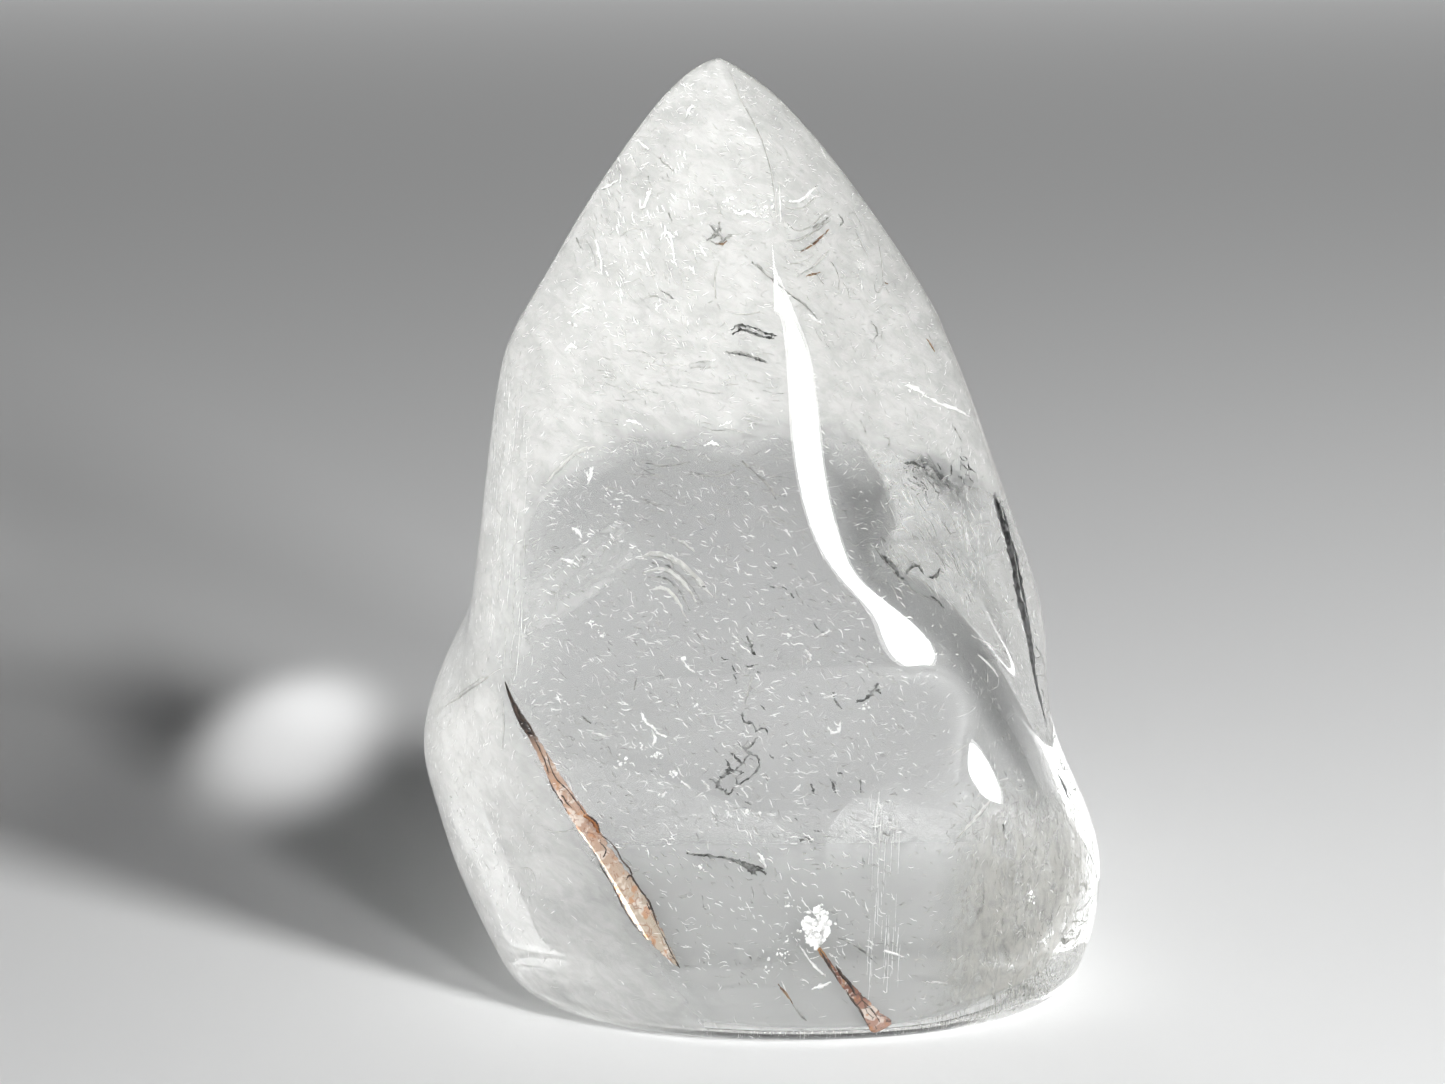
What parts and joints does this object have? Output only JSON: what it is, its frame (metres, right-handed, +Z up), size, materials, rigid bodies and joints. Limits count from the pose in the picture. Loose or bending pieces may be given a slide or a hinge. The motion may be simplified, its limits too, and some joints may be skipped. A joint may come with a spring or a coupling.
{
  "type": "quartz crystal flame",
  "caption": "Free-standing polished clear quartz flame: a swelling stone with turning ridges that rise from a flat foot to a blunt tip.",
  "frame": {"origin": "on the surface that the stone stands on, under the middle of its bounding box", "axes": "+Z up, from the foot to the tip; +X to the right and +Y away as the stone is seen from its front"},
  "size_m": [0.0684, 0.0436, 0.093],
  "materials": {
    "clear_quartz": "polished"
  },
  "bodies": {
    "root": {"quartz_flame": "clear_quartz"}
  },
  "joints": []
}
